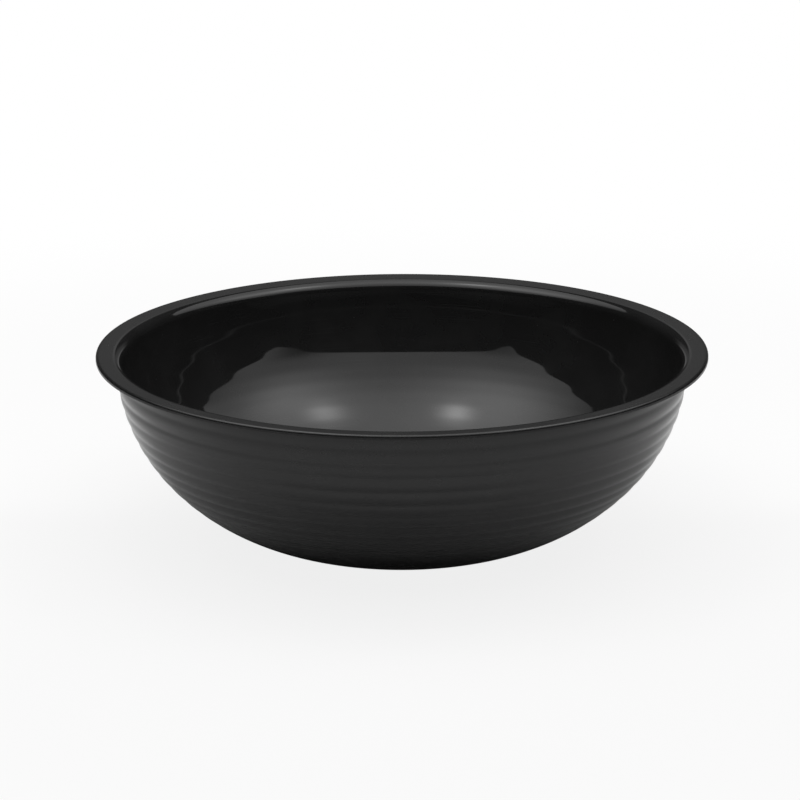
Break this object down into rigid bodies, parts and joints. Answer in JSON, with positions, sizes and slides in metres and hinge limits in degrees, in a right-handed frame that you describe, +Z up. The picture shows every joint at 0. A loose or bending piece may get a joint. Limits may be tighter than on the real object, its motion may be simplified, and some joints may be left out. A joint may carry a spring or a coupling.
{
  "type": "ribbed mixing bowl",
  "caption": "Round one-piece moulded mixing bowl with a flat turned-out rim, a horizontally ribbed wall and a low foot ring; holds and mixes loose or wet material.",
  "frame": {"origin": "centre of the foot ring's contact plane", "axes": "+Z up along the bowl's axis, X and Y across the rim"},
  "size_m": [0.3809, 0.381, 0.121],
  "materials": {
    "bowl": "black, polished inside and on the rim, satin on the ribbed outside"
  },
  "bodies": {
    "root": {"bowl": "bowl"}
  },
  "joints": []
}
